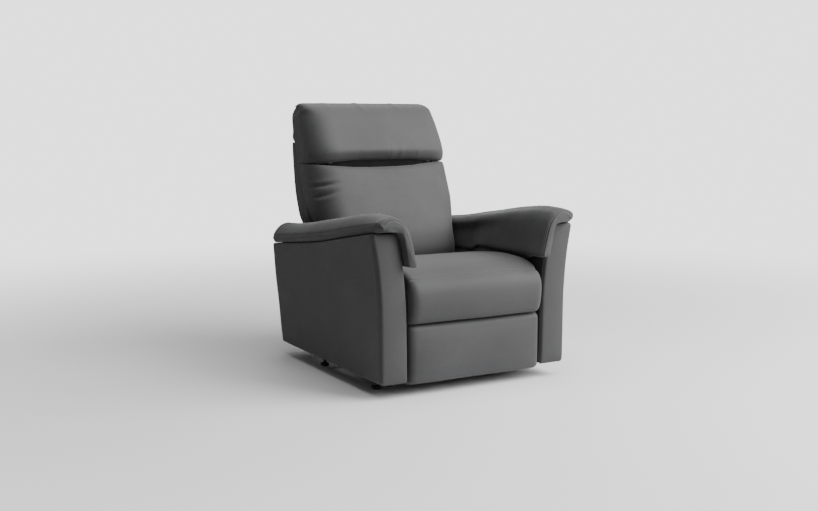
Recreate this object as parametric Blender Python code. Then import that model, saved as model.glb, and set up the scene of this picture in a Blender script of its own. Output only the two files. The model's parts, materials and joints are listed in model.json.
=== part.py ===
"""Push-back recliner armchair. Metres, +Z up, the front faces -Y, the origin is on the floor under the middle."""

from math import cos, hypot, pi, radians, sin, sqrt

import bmesh
import bpy
from mathutils import Matrix, Vector

# Clearance left between neighbouring pieces
GAP = 0.0005

# Arms
ARM_FRONT = -0.465
ARM_REAR = 0.415
ARM_BOTTOM = 0.052
ARM_WIDTH = 0.104
ARM_INNER = 0.286
COVER = 0.016
ARM_TOP = [(-0.50, 0.588), (-0.275, 0.552), (-0.024, 0.512), (0.42, 0.463)]
# Outer face of an arm, as (share of the arm's height, x), at its front and at its rear
FLARE_FRONT = [(0, 0.390), (0.47, 0.391), (0.66, 0.397), (0.80, 0.405), (0.90, 0.414), (1, 0.424)]
FLARE_REAR = [(0, 0.382), (0.16, 0.390), (0.42, 0.399), (0.71, 0.411), (0.96, 0.418), (1, 0.419)]

# Arm pads
PAD_FRONT = -0.495
PAD_RIDGE = [(-0.50, 0.632), (-0.45, 0.640), (-0.269, 0.629), (-0.115, 0.606), (0.04, 0.582), (0.151, 0.565),
             (0.30, 0.551), (0.42, 0.544)]
PAD_TIP = [(-0.50, 0.459), (-0.15, 0.458), (0.06, 0.458), (0.20, 0.456), (0.42, 0.450)]
PAD_INNER = [(-0.50, 0.262), (-0.25, 0.266), (-0.10, 0.280), (0.04, 0.306), (0.42, 0.306)]

# Base
RAIL_X = (0.300, 0.330)
RAIL_Y = (-0.385, 0.160)
RAIL_Z = (0.022, 0.0515)
GLIDE_R = 0.017
GLIDE_Y = (-0.290, 0.135)
TUBE_Z = 0.0335
TUBE_R = 0.011
FRONT_TUBE_Y = -0.375
REAR_TUBE_Y = 0.120

# Seat frame and cushion
SEAT_RAIL_X = (0.262, 0.268)
SEAT_HALF = 0.2805
SEAT_UNDERSIDE = 0.336
SEAT_TOP = [(-0.485, 0.300), (-0.486, 0.345), (-0.479, 0.383), (-0.450, 0.412), (-0.40, 0.434), (-0.32, 0.448),
            (-0.22, 0.4495), (-0.10, 0.441), (0.0, 0.427), (0.070, 0.416), (0.078, 0.405)]
SPRING_Z = 0.318
CHANNEL_X = (0.2715, 0.2855)
CHANNEL_Z = (0.285, 0.315)
CHANNEL_Y = (-0.300, 0.085)

# Back: the plane between its cushion and its shell, and its half width at each height
BACK_HINGE = (0.155, 0.280)
BACK_PIN = (0.130, 0.359)
BACK_SLOPE = 0.4136
BACK_REF = (0.303, 0.547)
SHELL_HALF = [(0.24, 0.282), (0.50, 0.284), (0.58, 0.300), (0.80, 0.296), (1.03, 0.281)]
CUSHION_HALF = [(0.24, 0.282), (0.50, 0.284), (0.58, 0.299), (0.65, 0.306), (0.80, 0.306), (0.95, 0.300),
                (1.03, 0.292)]
BACK_FRONT = [(0.098, 0.392), (0.100, 0.430), (0.113, 0.490), (0.142, 0.564), (0.183, 0.668), (0.214, 0.742),
              (0.225, 0.764)]
SHELL_REAR = [(0.495, 0.868), (0.473, 0.756), (0.456, 0.673), (0.400, 0.538), (0.362, 0.45), (0.326, 0.35),
              (0.312, 0.255)]
POCKET_HALF = 0.2745
POCKET_DEPTH = 0.030
HEAD_AXIS = (0.262, 0.780)
HEAD_PROFILE = [(0.262, 0.7935), (0.249, 0.796), (0.234, 0.806), (0.232, 0.826), (0.245, 0.865), (0.270, 0.910),
                (0.298, 0.957), (0.325, 0.995), (0.362, 1.017), (0.410, 1.024), (0.450, 1.015), (0.476, 0.995),
                (0.480, 0.972), (0.468, 0.929), (0.457, 0.893), (0.446, 0.876), (0.430, 0.866), (0.4035, 0.800),
                (0.398, 0.7935)]

# Footrest linkage, points as (y, z)
P1 = (-0.145, 0.270)
T = (-0.031, 0.065)
W = (-0.360, 0.120)
P2 = (P1[0] - 0.100, P1[1] + 0.030)
S = (T[0] - 0.100, T[1] + 0.030)
REACH = hypot(T[0] - P1[0], T[1] - P1[1])
U = (T[0] - 0.06 * (T[0] - P1[0]) / REACH, T[1] - 0.06 * (T[1] - P1[1]) / REACH)
V = (W[0] + U[0] - T[0], W[1] + U[1] - T[1])
OUTER_LAYER = (0.252, 0.257)
INNER_LAYER = (0.244, 0.249)
TOP_LAYER = (0.236, 0.241)
LINK_R = 0.011
PIN_R = 0.004
HOLE_R = 0.0044

# Footrest panel
FOOT_Z = (0.040, 0.249)
FOOT_HALF = 0.2755
FOOT_FRONT = -0.466
BOARD_Y = (-0.437, -0.425)

SIDES = (("L", -1), ("R", 1))
MATERIALS = {}


def material(name, colour, roughness, metallic):
    """Makes one named material."""
    mat = bpy.data.materials.new(name)
    mat.use_nodes = True
    shader = mat.node_tree.nodes["Principled BSDF"]
    shader.inputs["Base Color"].default_value = (*colour, 1.0)
    shader.inputs["Roughness"].default_value = roughness
    shader.inputs["Metallic"].default_value = metallic
    MATERIALS[name] = mat


def along(table, at):
    """Reads a table of (position, value) pairs, straight lines between them."""
    if at <= table[0][0]:
        return table[0][1]
    for (a, fa), (b, fb) in zip(table, table[1:]):
        if at <= b:
            return fa + (fb - fa) * (at - a) / (b - a)
    return table[-1][1]


def smooth_curve(points, steps):
    """Rounds an open run of 2-D points with a Catmull-Rom curve."""
    out = []
    for i in range(len(points) - 1):
        a = Vector(points[max(i - 1, 0)])
        b = Vector(points[i])
        c = Vector(points[i + 1])
        d = Vector(points[min(i + 2, len(points) - 1)])
        for k in range(steps):
            t = k / steps
            p = 0.5 * (2 * b + (c - a) * t + (2 * a - 5 * b + 4 * c - d) * t * t + (3 * b - a - 3 * c + d) * t ** 3)
            out.append((p.x, p.y))
    out.append(tuple(points[-1]))
    return out


def solid(name, verts, faces, mat, origin=(0, 0, 0), smooth=0.0):
    """Makes an object from world positions, with its origin at the given point and its faces outward."""
    mesh = bpy.data.meshes.new(name)
    bm = bmesh.new()
    made = [bm.verts.new(Vector(v) - Vector(origin)) for v in verts]
    for face in faces:
        bm.faces.new([made[i] for i in face])
    bmesh.ops.triangulate(bm, faces=[f for f in bm.faces if len(f.verts) > 4], ngon_method="EAR_CLIP")
    bmesh.ops.recalc_face_normals(bm, faces=bm.faces[:])
    bm.to_mesh(mesh)
    bm.free()
    obj = bpy.data.objects.new(name, mesh)
    obj.location = origin
    bpy.context.collection.objects.link(obj)
    if mat:
        mesh.materials.append(MATERIALS[mat])
    if smooth:
        round_off(obj, smooth)
    return obj


def round_off(obj, angle):
    """Shades an object smooth, keeping edges sharper than the angle."""
    obj.data.shade_smooth()
    obj.data.set_sharp_from_angle(angle=radians(angle))


def loft(name, rings, mat, origin=(0, 0, 0), smooth=0.0):
    """Joins matching rings into one closed body, with a cap at each end."""
    n = len(rings[0])
    verts = [p for ring in rings for p in ring]
    faces = []
    for k in range(len(rings) - 1):
        for i in range(n):
            j = (i + 1) % n
            faces.append((k * n + i, k * n + j, (k + 1) * n + j, (k + 1) * n + i))
    faces.append(tuple(range(n)))
    faces.append(tuple((len(rings) - 1) * n + i for i in range(n)))
    return solid(name, verts, faces, mat, origin, smooth)


def box(name, x, y, z, mat, origin=(0, 0, 0)):
    """Makes a plain box from its limits along each axis."""
    ring = [(x[0], y[0]), (x[1], y[0]), (x[1], y[1]), (x[0], y[1])]
    return loft(name, [[(*p, z[0]) for p in ring], [(*p, z[1]) for p in ring]], mat, origin)


def circle(centre, radius, count):
    """Gives points around a circle."""
    return [(centre[0] + radius * cos(2 * pi * i / count), centre[1] + radius * sin(2 * pi * i / count))
            for i in range(count)]


def extrude_x(name, outline, x, mat, origin=(0, 0, 0), smooth=0.0):
    """Extrudes a (y, z) outline between two x positions."""
    return loft(name, [[(x[0], *p) for p in outline], [(x[1], *p) for p in outline]], mat, origin, smooth)


def rod_x(name, centre, radius, x, mat, count=20, origin=(0, 0, 0)):
    """Makes a round bar along X."""
    return extrude_x(name, circle(centre, radius, count), x, mat, origin, 40)


def combine(obj, tool, operation):
    """Cuts, or adds, one solid to another, and removes the second."""
    step = obj.modifiers.new("step", "BOOLEAN")
    step.operation = operation
    step.solver = "EXACT"
    step.object = tool
    graph = bpy.context.evaluated_depsgraph_get()
    mesh = bpy.data.meshes.new_from_object(obj.evaluated_get(graph))
    obj.modifiers.clear()
    old = obj.data
    obj.data = mesh
    bpy.data.meshes.remove(old)
    bpy.data.objects.remove(tool)
    bm = bmesh.new()
    bm.from_mesh(mesh)
    bmesh.ops.remove_doubles(bm, verts=bm.verts[:], dist=0.00001)
    bmesh.ops.dissolve_degenerate(bm, edges=bm.edges[:], dist=0.00001)
    bm.to_mesh(mesh)
    bm.free()


def hull(points, radius, count=16):
    """Gives the outline wrapped around discs of one radius, as a counter-clockwise loop."""
    cloud = sorted({(round(p[0], 7), round(p[1], 7)) for c in points for p in circle(c, radius, count)})

    def turn(a, b, c):
        return (b[0] - a[0]) * (c[1] - a[1]) - (b[1] - a[1]) * (c[0] - a[0])

    lower = []
    for p in cloud:
        while len(lower) > 1 and turn(lower[-2], lower[-1], p) <= 1e-12:
            lower.pop()
        lower.append(p)
    upper = []
    for p in reversed(cloud):
        while len(upper) > 1 and turn(upper[-2], upper[-1], p) <= 1e-12:
            upper.pop()
        upper.append(p)
    return lower[:-1] + upper[:-1]


def mirrored(x, side):
    """Puts a pair of x limits on one side of the chair."""
    return (min(x[0] * side, x[1] * side), max(x[0] * side, x[1] * side))


def link(name, side, points, layer, origin_at, holes=(), pins=()):
    """Makes a flat steel link with holes for other links' pins, and its own pins."""
    origin = (side * layer[0], *origin_at)
    obj = extrude_x(name, hull(points, LINK_R), mirrored(layer, side), "steel_black", origin)
    for at, x in pins:
        combine(obj, rod_x("pin", at, PIN_R, mirrored(x, side), None, 16), "UNION")
    for at in holes:
        combine(obj, rod_x("hole", at, HOLE_R, mirrored((0.23, 0.29), side), None, 16), "DIFFERENCE")
    round_off(obj, 30)
    return obj


# ---------------------------------------------------------------- arms


def arm_top(y):
    """Height of the arm's body, under its pad."""
    return along(ARM_TOP, y)


def arm_outer(y, share):
    """Position of an arm's outer face at a share of its height."""
    back = (y - ARM_FRONT) / (ARM_REAR - ARM_FRONT)
    back = min(max(back, 0.0), 1.0)
    return along(FLARE_FRONT, share) * (1 - back) + along(FLARE_REAR, share) * back


def arm_inner(y, z):
    """Position of an arm's inner face at a height."""
    share = min(max((z - ARM_BOTTOM) / (arm_top(y) - ARM_BOTTOM), 0.0), 1.0)
    return max(ARM_INNER, arm_outer(y, share) - ARM_WIDTH + 0.006 * share)


ARM_LEVELS = (0, 0.16, 0.30, 0.42, 0.54, 0.64, 0.72, 0.80, 0.86, 0.92, 0.96, 1.0)


def arm_slab(name, side, y_stations, near, far, mat):
    """Makes a slab of an arm between two distances, each measured from the inner or the outer face."""
    rings = []
    for y in y_stations:
        top = arm_top(y) - GAP
        ring = []
        for share in ARM_LEVELS:
            z = ARM_BOTTOM + share * (top - ARM_BOTTOM)
            ring.append((side * near(y, z), y, z))
        for share in reversed(ARM_LEVELS):
            z = ARM_BOTTOM + share * (top - ARM_BOTTOM)
            ring.append((side * far(y, z), y, z))
        rings.append(ring)
    return loft(name, rings, mat, smooth=35)


def outer_face(y, z):
    share = (z - ARM_BOTTOM) / (arm_top(y) - ARM_BOTTOM)
    return arm_outer(y, share)


def build_arm(tag, side):
    """Builds an arm's board, its four covers and its pad."""
    y0 = ARM_FRONT + COVER + GAP
    y1 = ARM_REAR - COVER - GAP
    stations = [y0, -0.275, -0.15, -0.024, 0.12, 0.27, y1]
    arm_slab("arm_board_" + tag, side, stations, lambda y, z: arm_inner(y, z) + COVER + GAP,
             lambda y, z: outer_face(y, z) - COVER - GAP, "plywood")
    arm_slab("arm_inner_cover_" + tag, side, stations, arm_inner, lambda y, z: arm_inner(y, z) + COVER, "leather_arm")
    arm_slab("arm_outer_cover_" + tag, side, stations, lambda y, z: outer_face(y, z) - COVER, outer_face, "leather_arm")
    arm_slab("arm_front_cover_" + tag, side, [ARM_FRONT, ARM_FRONT + COVER], arm_inner, outer_face, "leather_arm")
    arm_slab("arm_rear_cover_" + tag, side, [ARM_REAR - COVER, ARM_REAR], arm_inner, outer_face, "leather_arm")
    build_arm_pad(tag, side)


def pad_ring(y, side):
    """One cross-section of an arm pad: over the top of the arm and down its inner face."""
    low = arm_top(y) + GAP
    ridge = along(PAD_RIDGE, y)
    tip = along(PAD_TIP, y)
    inner = along(PAD_INNER, y)
    rise = ridge - low
    outer = arm_outer(y, 1.0) + 0.001
    drape = min(max((low - tip) / 0.12, 0.0), 1.0)

    def mix(front, rear):
        return front * drape + rear * (1 - drape)

    run = [(outer, low), (outer + 0.001, low + 0.45 * rise), (outer - 0.012, low + 0.80 * rise), (0.370, ridge),
           (mix(0.336, 0.332), mix(ridge - 0.016, ridge - 0.004)),
           (mix(0.300, inner + 0.004), mix(ridge - 0.052, ridge - 0.020)),
           (inner + mix(0.020, 0.0), mix(ridge - 0.090, ridge - 0.036)),
           (inner + mix(0.005, 0.0), mix(tip + 0.042, low + 0.022)),
           (inner, mix(tip + 0.012, low + 0.010)), (inner + 0.007, tip)]
    wall = arm_inner(y, low) - 0.002
    back = []
    for share in (0.03, 0.35, 0.68):
        z = tip + share * (low - tip)
        back.append((arm_inner(y, z) - 0.002, z))
    back.append((wall, low))
    back.append((wall + 0.03, low))
    return [(side * x, y, z) for x, z in run + back]


def build_arm_pad(tag, side):
    stations = [PAD_FRONT, -0.46, -0.36, -0.26, -0.17, -0.09, -0.02, 0.04, 0.075, 0.11, 0.18, 0.26, 0.34, 0.385, ARM_REAR]
    loft("arm_pad_" + tag, [pad_ring(y, side) for y in stations], "leather_pad", smooth=50)


# ---------------------------------------------------------------- base


def build_base():
    """Builds the base rails, cross tubes, rear board and glides."""
    for tag, side in SIDES:
        x = mirrored(RAIL_X, side)
        rail = box("base_rail_" + tag, x, RAIL_Y, RAIL_Z, "steel_black")
        groove = mirrored((RAIL_X[0] + 0.004, RAIL_X[1] + 0.01), side)
        combine(rail, box("groove", groove, (-1, 1), (0, RAIL_Z[1] - 0.004), None), "DIFFERENCE")
        build_guide(tag, side)
        for end, y in (("front", GLIDE_Y[0]), ("rear", GLIDE_Y[1])):
            build_glide("glide_%s_%s" % (end, tag), side * 0.319, y)
    inside = RAIL_X[0] - GAP
    rod_x("front_cross_tube", (FRONT_TUBE_Y, TUBE_Z), TUBE_R, (-inside, inside), "steel_black")
    rod_x("rear_cross_tube", (REAR_TUBE_Y, TUBE_Z), TUBE_R, (-inside, inside), "steel_black")
    half = ARM_INNER - GAP
    box("rear_board", (-half, half), (0.390, 0.406), (0.040, 0.200), "plywood")


def build_glide(name, x, y):
    """Builds a round plastic glide with a short neck under a base rail."""
    profile = [(GLIDE_R - 0.003, 0), (GLIDE_R, 0.003), (GLIDE_R, 0.010), (0.007, 0.013), (0.007, RAIL_Z[1] - 0.0045)]
    rings = [[(*p, z) for p in circle((x, y), r, 20)] for r, z in profile]
    loft(name, rings, "plastic_black", smooth=40)


def build_guide(tag, side):
    """Builds the steel channel the seat slides in, with the slotted ear that holds the back's pin."""
    x = mirrored(CHANNEL_X, side)
    guide = box("guide_rail_" + tag, x, CHANNEL_Y, CHANNEL_Z, "steel_black")
    hollow = mirrored((0.26, CHANNEL_X[1] - 0.002), side)
    combine(guide, box("hollow", hollow, (-1, 1), (CHANNEL_Z[0] + 0.003, CHANNEL_Z[1] - 0.003), None), "DIFFERENCE")
    outline = [(0.050, 0.2965), (0.146, 0.2965), (0.146, 0.374), (0.114, 0.374), (0.100, 0.333), (0.050, 0.316)]
    combine(guide, extrude_x("ear", outline, mirrored((0.2785, 0.2855), side), None), "UNION")
    slot = hull([(BACK_PIN[0], BACK_PIN[1] - 0.0005), (BACK_PIN[0], BACK_PIN[1] + 0.005)], PIN_R + 0.0008)
    combine(guide, extrude_x("slot", slot, mirrored((0.27, 0.29), side), None), "DIFFERENCE")


# ---------------------------------------------------------------- seat


def build_seat():
    """Builds the seat's frame, springs and cushion."""
    for tag, side in SIDES:
        outline = [(-0.415, 0.262), (P1[0] - 0.03, 0.252), (P1[0] + 0.03, 0.252), (0.13, 0.262), (0.171, 0.262),
                   (0.171, 0.298), (0.13, 0.328), (-0.415, 0.328)]
        rail = extrude_x("seat_rail_" + tag, outline, mirrored(SEAT_RAIL_X, side), "steel_black")
        for at, radius in ((P1, HOLE_R), (P2, HOLE_R), (BACK_HINGE, 0.0054)):
            combine(rail, rod_x("hole", at, radius, mirrored((0.25, 0.28), side), None, 16), "DIFFERENCE")
        block = mirrored((SEAT_RAIL_X[1] + GAP, CHANNEL_X[1] - 0.0028), side)
        box("slide_block_" + tag, block, (-0.190, 0.030), (CHANNEL_Z[0] + 0.0036, CHANNEL_Z[1] - 0.0036), "plastic_white")
    half = SEAT_RAIL_X[0] - GAP
    box("seat_front_board", (-half, half), (-0.436, -0.4155), (0.262, 0.3345), "plywood")
    box("seat_rear_board", (-half, half), (0.060, 0.078), (0.285, 0.3345), "plywood")
    for index, x in enumerate((-0.15, 0.0, 0.15)):
        build_spring("seat_spring_%d" % (index + 1), x)
    build_seat_cushion()


def build_spring(name, x):
    """Builds a zigzag seat spring: a flat wave of wire between the front and rear boards."""
    y0 = -0.4150
    y1 = 0.0595
    waves = 9
    path = []
    for i in range(waves * 6 + 1):
        t = i / (waves * 6)
        path.append(Vector((x + 0.028 * sin(2 * pi * waves * t), y0 + (y1 - y0) * t, SPRING_Z)))
    rings = []
    for i, p in enumerate(path):
        if 0 < i < len(path) - 1:
            ahead = (path[i + 1] - path[i - 1]).normalized()
        else:
            ahead = Vector((0, 1, 0))
        across = Vector((0, 0, 1)).cross(ahead)
        rings.append([p + across * 0.0018 * a + Vector((0, 0, 0.0018 * b)) for a, b in ((1, 1), (-1, 1), (-1, -1), (1, -1))])
    loft(name, rings, "steel_bright")


def edge_drop(x, half, radius):
    """How far a rounded edge has fallen at a distance from the middle."""
    into = max(abs(x) - (half - radius), 0.0)
    return radius - sqrt(max(radius * radius - into * into, 0.0))


def build_seat_cushion():
    """Builds the seat cushion: a top slab with a rounded nose that hangs in front of the front board."""
    rings = []
    for x in (-1, -0.990, -0.965, -0.935, -0.89, -0.5, 0, 0.5, 0.89, 0.935, 0.965, 0.990, 1):
        x *= SEAT_HALF
        fall = edge_drop(x, SEAT_HALF, 0.030)
        ring = [(x, -0.440, 0.257), (x, -0.474 + 0.3 * fall, 0.258)]
        for y, z in smooth_curve(SEAT_TOP, 2):
            share = min(max((z - 0.34) / 0.05, 0.0), 1.0)
            front = min(max((-0.36 - y) / 0.08, 0.0), 1.0)
            ring.append((x, y + 0.5 * fall * front, z - fall * share))
        ring.append((x, 0.078, SEAT_UNDERSIDE))
        ring.append((x, -0.440, SEAT_UNDERSIDE))
        rings.append(ring)
    loft("seat_cushion", rings, "leather_seat", smooth=50)


# ---------------------------------------------------------------- back


def back_plane(z):
    """Position of the plane between the back's cushion and its shell."""
    return BACK_REF[0] + BACK_SLOPE * (z - BACK_REF[1])


def back_loft(name, outline, bulge, origin, mat, rounded, halves):
    """Sweeps a (y, z) outline across a width that changes with height, rounding its front edges."""
    rings = []
    for u in (-1, -0.985, -0.94, -0.88, -0.78, -0.5, -0.2, 0.2, 0.5, 0.78, 0.88, 0.94, 0.985, 1):
        ring = []
        for y, z, weight in outline:
            half = along(halves, z)
            fall = edge_drop(u * half, half, rounded) * weight
            ring.append((u * half, y + fall - bulge * weight * (1 - u * u), z))
        rings.append(ring)
    return loft(name, rings, mat, origin, 50)


def tilted_box(name, half, z, depth, mat, origin=(0, 0, 0), x=None):
    """Makes a box that lies along the back's plane, between two heights and two depths behind the plane."""
    x = x or (-half, half)
    away = 1 / sqrt(1 + BACK_SLOPE * BACK_SLOPE)
    corners = []
    for height, behind in ((z[0], depth[0]), (z[1], depth[0]), (z[1], depth[1]), (z[0], depth[1])):
        corners.append((back_plane(height) + behind * away, height - behind * away * BACK_SLOPE))
    return extrude_x(name, corners, x, mat, origin)


def build_back():
    """Builds the reclining back: brackets, frame, shell and cushion."""
    origin = (0, *BACK_HINGE)
    for tag, side in SIDES:
        build_back_bracket(tag, side)
        tilted_box("back_upright_" + tag, 0, (0.395, 0.842), (0.004, 0.027), "plywood", origin,
                   mirrored((0.240, 0.268), side))
    tilted_box("back_top_rail", 0.2395, (0.748, 0.842), (0.006, 0.025), "plywood", origin)
    tilted_box("back_bottom_rail", 0.2395, (0.405, 0.485), (0.006, 0.025), "plywood", origin)
    build_back_shell(origin)
    build_back_cushion(origin)
    build_head_hinge()


def build_back_bracket(tag, side):
    """Builds the steel bracket that carries the back, with its hinge pin and its guide pin."""
    layer = mirrored((0.2685, 0.2730), side)
    elbow = (back_plane(0.345) + 0.0175, 0.345)
    tail = (back_plane(0.48) + 0.0175, 0.48)
    origin = (side * 0.2685, *BACK_HINGE)
    bracket = extrude_x("back_bracket_" + tag, hull([BACK_HINGE, BACK_PIN, elbow], 0.012), layer, "steel_black", origin)
    combine(bracket, extrude_x("tail", hull([elbow, tail], 0.012), layer, None), "UNION")
    combine(bracket, rod_x("pin", BACK_HINGE, 0.005, mirrored((0.2600, 0.2690), side), None, 16), "UNION")
    combine(bracket, rod_x("pin", BACK_PIN, PIN_R, mirrored((0.2720, 0.2850), side), None, 16), "UNION")
    round_off(bracket, 30)


def build_back_shell(origin):
    """Builds the outer back: a tray, open to the front and below, that holds the frame."""
    outline = [(back_plane(0.868) + 2 * GAP, 0.868, 0), (back_plane(0.255) + 2 * GAP, 0.255, 0)]
    rear = smooth_curve(SHELL_REAR[::-1], 2)
    outline += [(y, z, -0.30) for y, z in rear]
    shell = back_loft("back_shell", outline, 0.0, origin, "leather_back", 0.040, SHELL_HALF)
    pocket = tilted_box("pocket", POCKET_HALF, (0.20, 0.852), (-0.03, POCKET_DEPTH), None)
    combine(shell, pocket, "DIFFERENCE")
    round_off(shell, 40)


def build_back_cushion(origin):
    """Builds the lower back cushion, with a recess on top for the headrest's hinge."""
    front = smooth_curve(BACK_FRONT, 2)
    outline = [(back_plane(0.785) - GAP, 0.785, 0), (back_plane(0.392) - GAP, 0.392, 0)]
    outline += [(y, z, min(1.0, max(0.0, (0.775 - z) / 0.06))) for y, z in front]
    outline += [(0.240, 0.771, 0.05), (0.262, 0.782, 0), (0.272, 0.785, 0)]
    cushion = back_loft("back_cushion", outline, 0.020, origin, "leather_seat", 0.030, CUSHION_HALF)
    recess = box("recess", (-0.247, 0.247), (0.236, 0.50), (0.7665, 0.90), None)
    combine(cushion, recess, "DIFFERENCE")
    round_off(cushion, 50)


def build_head_hinge():
    """Builds the headrest's fixed hinge: an axle on two flat bars from the top rail."""
    origin = (0, *HEAD_AXIS)
    hinge = rod_x("headrest_hinge", HEAD_AXIS, 0.005, (-0.130, 0.130), "steel_black", 20, origin)
    for side in (-1, 1):
        x = mirrored((0.085, 0.105), side)
        bar = box("bar", x, (HEAD_AXIS[0] - 0.008, 0.3875), (HEAD_AXIS[1] - 0.0115, HEAD_AXIS[1] - 0.0035), None)
        combine(hinge, bar, "UNION")
    round_off(hinge, 30)


def build_headrest():
    """Builds the tilting headrest: its board with two knuckles on the axle, and its cushion."""
    origin = (0, *HEAD_AXIS)
    z = (0.7868, 0.7928)
    frame = box("headrest_frame", (-0.236, 0.236), (HEAD_AXIS[0] - 0.004, 0.392), z, "steel_black", origin)
    for side in (-1, 1):
        x = mirrored((0.107, 0.125), side)
        knuckle = hull([HEAD_AXIS, (HEAD_AXIS[0] + 0.004, HEAD_AXIS[1] + 0.002)], 0.0095)
        combine(frame, extrude_x("knuckle", knuckle, x, None), "UNION")
    combine(frame, rod_x("bore", HEAD_AXIS, 0.0054, (-0.13, 0.13), None, 20), "DIFFERENCE")
    round_off(frame, 30)
    outline = []
    for y, height in HEAD_PROFILE:
        weight = min(1.0, max(0.0, (height - 0.795) / 0.05)) if y < 0.33 else 0.0
        outline.append((y, height, weight))
    back_loft("headrest_cushion", outline, 0.014, origin, "leather_head", 0.030, CUSHION_HALF)


# ---------------------------------------------------------------- footrest


def build_linkage():
    """Builds the footrest's lifting links on both sides, and the tube that ties them."""
    for tag, side in SIDES:
        inward = (INNER_LAYER[0] - 0.0015, OUTER_LAYER[0] + 0.001)
        far_in = (TOP_LAYER[0] - 0.0015, OUTER_LAYER[0] + 0.001)
        outward = (OUTER_LAYER[1] - 0.001, SEAT_RAIL_X[1] + 0.001)
        link("rear_link_" + tag, side, [P1, T], OUTER_LAYER, P1, pins=[(P1, outward), (T, inward), (U, far_in)])
        link("front_link_" + tag, side, [P2, S], OUTER_LAYER, P2, pins=[(P2, outward), (S, inward)])
        link("main_link_" + tag, side, [T, S, W], INNER_LAYER, T, holes=[T, S, W])
        link("top_link_" + tag, side, [U, V], TOP_LAYER, U, holes=[U, V])
        shape = [(BOARD_Y[1] + LINK_R + GAP, 0.085), (BOARD_Y[1] + LINK_R + GAP, 0.205), V, W]
        link("footrest_bracket_" + tag, side, shape, OUTER_LAYER, W, pins=[(V, far_in), (W, inward)])
    half = OUTER_LAYER[0] - GAP
    rod_x("torque_tube", P1, 0.009, (-half, half), "steel_black", 20, (0, *P1))


def build_footrest():
    """Builds the footrest's board and its pad."""
    origin = (0, *W)
    box("footrest_board", (-0.260, 0.260), BOARD_Y, (FOOT_Z[0] + 0.010, FOOT_Z[1] - 0.010), "plywood", origin)
    rings = []
    for u in (-1, -0.97, -0.90, -0.5, 0, 0.5, 0.90, 0.97, 1):
        x = u * FOOT_HALF
        fall = edge_drop(x, FOOT_HALF, 0.018)
        low = FOOT_Z[0]
        high = FOOT_Z[1]
        rear = BOARD_Y[0] - GAP
        ring = [(x, rear, low), (x, FOOT_FRONT + 0.014 + 0.5 * fall, low), (x, FOOT_FRONT + 0.004 + fall, low + 0.010),
                (x, FOOT_FRONT + fall, low + 0.030), (x, FOOT_FRONT + fall, high - 0.030),
                (x, FOOT_FRONT + 0.004 + fall, high - 0.010), (x, FOOT_FRONT + 0.014 + 0.5 * fall, high), (x, rear, high)]
        rings.append(ring)
    loft("footrest_pad", rings, "leather_foot", origin, 50)


def main():
    for obj in list(bpy.data.objects):
        bpy.data.objects.remove(obj)
    material("leather_arm", (0.15, 0.15, 0.155), 0.55, 0.0)
    material("leather_pad", (0.16, 0.16, 0.165), 0.50, 0.0)
    material("leather_seat", (0.17, 0.17, 0.175), 0.50, 0.0)
    material("leather_head", (0.17, 0.17, 0.175), 0.50, 0.0)
    material("leather_back", (0.14, 0.14, 0.145), 0.55, 0.0)
    material("leather_foot", (0.15, 0.15, 0.155), 0.55, 0.0)
    material("plywood", (0.55, 0.40, 0.25), 0.70, 0.0)
    material("steel_black", (0.03, 0.03, 0.03), 0.45, 0.6)
    material("steel_bright", (0.45, 0.45, 0.46), 0.35, 0.9)
    material("plastic_black", (0.02, 0.02, 0.02), 0.50, 0.0)
    material("plastic_white", (0.75, 0.75, 0.72), 0.50, 0.0)
    build_base()
    for tag, side in SIDES:
        build_arm(tag, side)
    build_seat()
    build_back()
    build_headrest()
    build_linkage()
    build_footrest()


main()
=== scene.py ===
"""Looks of the push-back recliner: upholstery, seams, stitching and metal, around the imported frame."""

import json
from math import cos, pi, radians, sin, sqrt

import bmesh
import bpy
import numpy as np
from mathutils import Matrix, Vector, noise
from mathutils.bvhtree import BVHTree


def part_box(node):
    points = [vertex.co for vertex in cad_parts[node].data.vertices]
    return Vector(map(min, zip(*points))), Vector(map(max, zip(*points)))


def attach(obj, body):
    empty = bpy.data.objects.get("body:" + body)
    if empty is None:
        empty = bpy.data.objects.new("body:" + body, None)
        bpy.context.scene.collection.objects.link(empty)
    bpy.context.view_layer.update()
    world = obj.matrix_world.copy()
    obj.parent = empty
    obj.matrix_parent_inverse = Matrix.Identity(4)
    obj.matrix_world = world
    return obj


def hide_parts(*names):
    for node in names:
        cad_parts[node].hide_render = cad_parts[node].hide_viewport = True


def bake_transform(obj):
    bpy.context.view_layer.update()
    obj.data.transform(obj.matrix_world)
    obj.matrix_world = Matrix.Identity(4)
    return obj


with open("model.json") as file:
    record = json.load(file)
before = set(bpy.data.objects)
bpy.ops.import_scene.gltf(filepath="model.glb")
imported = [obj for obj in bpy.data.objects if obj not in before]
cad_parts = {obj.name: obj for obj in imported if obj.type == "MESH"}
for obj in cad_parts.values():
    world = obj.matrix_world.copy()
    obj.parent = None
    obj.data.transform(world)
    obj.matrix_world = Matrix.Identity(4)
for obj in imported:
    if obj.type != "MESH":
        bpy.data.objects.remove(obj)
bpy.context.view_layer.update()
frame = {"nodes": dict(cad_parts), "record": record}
NODES = frame["nodes"]
SIDES = (("L", -1), ("R", 1))


# ---------------------------------------------------------------- small helpers


def mix(a, b, t):
    return a + (b - a) * t


def clamp(x, low=0.0, high=1.0):
    return min(max(x, low), high)


def ease(x):
    x = clamp(x)
    return x * x * (3 - 2 * x)


def bump(x, centre, width):
    """A smooth bell of height one."""
    return float(np.exp(-(((x - centre) / width) ** 2)))


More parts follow.
